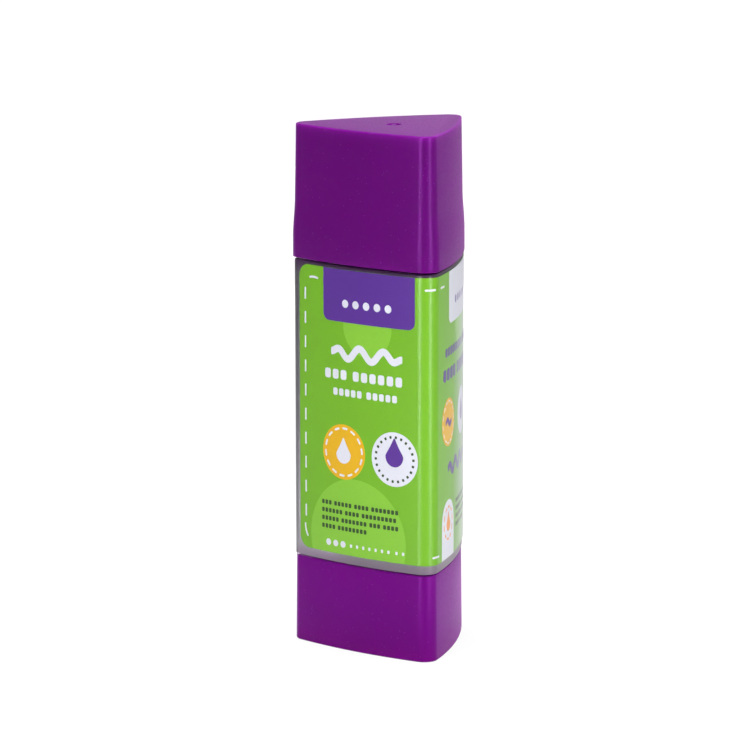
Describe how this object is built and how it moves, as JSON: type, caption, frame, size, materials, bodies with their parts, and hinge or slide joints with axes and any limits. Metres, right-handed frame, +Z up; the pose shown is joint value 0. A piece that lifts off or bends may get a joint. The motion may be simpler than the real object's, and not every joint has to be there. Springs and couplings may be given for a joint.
{
  "type": "glue stick",
  "caption": "Twist-up glue stick of rounded triangular section: pull-off cap, clear barrel with a wrap label, and a turning base that winds the paste up a thread.",
  "frame": {"origin": "on the turning axis, at the underside of the base", "axes": "+Z up along the turning axis, -Y towards the wide printed face, which lies between the two corners at -30 and 210 degrees"},
  "size_m": [0.0324, 0.0299, 0.094],
  "materials": {
    "purple_plastic": "moulded polypropylene, fine satin grain",
    "clear_plastic": "clear moulded polypropylene, slightly hazy",
    "printed_film": "printed wrap film, semi-gloss",
    "white_plastic": "moulded polyethylene",
    "glue_paste": "cast waxy paste"
  },
  "bodies": {
    "barrel": {"barrel": "clear_plastic", "label": "printed_film"},
    "knob": {"base_knob": "purple_plastic", "spindle": "white_plastic"},
    "carrier": {"carrier": "white_plastic", "glue_column": "glue_paste"},
    "cap": {"cap": "purple_plastic"}
  },
  "joints": [
    {"name": "cap_lift", "type": "slide", "parent": "barrel", "child": "cap", "axis": [0, 0, 1], "range_m": [0, 0.035]},
    {"name": "knob_turn", "type": "hinge", "parent": "barrel", "child": "knob", "pos_m": [0, 0, 0.008], "axis": [0, 0, 1], "range_deg": [0, 3060]},
    {"name": "carrier_rise", "type": "slide", "parent": "barrel", "child": "carrier", "axis": [0, 0, 1], "range_m": [0, 0.051], "deforming": ["glue_column"]}
  ],
  "couplings": [
    {"joint": "carrier_rise", "follows": "knob_turn", "m_per_rad": 0.0009549}
  ]
}
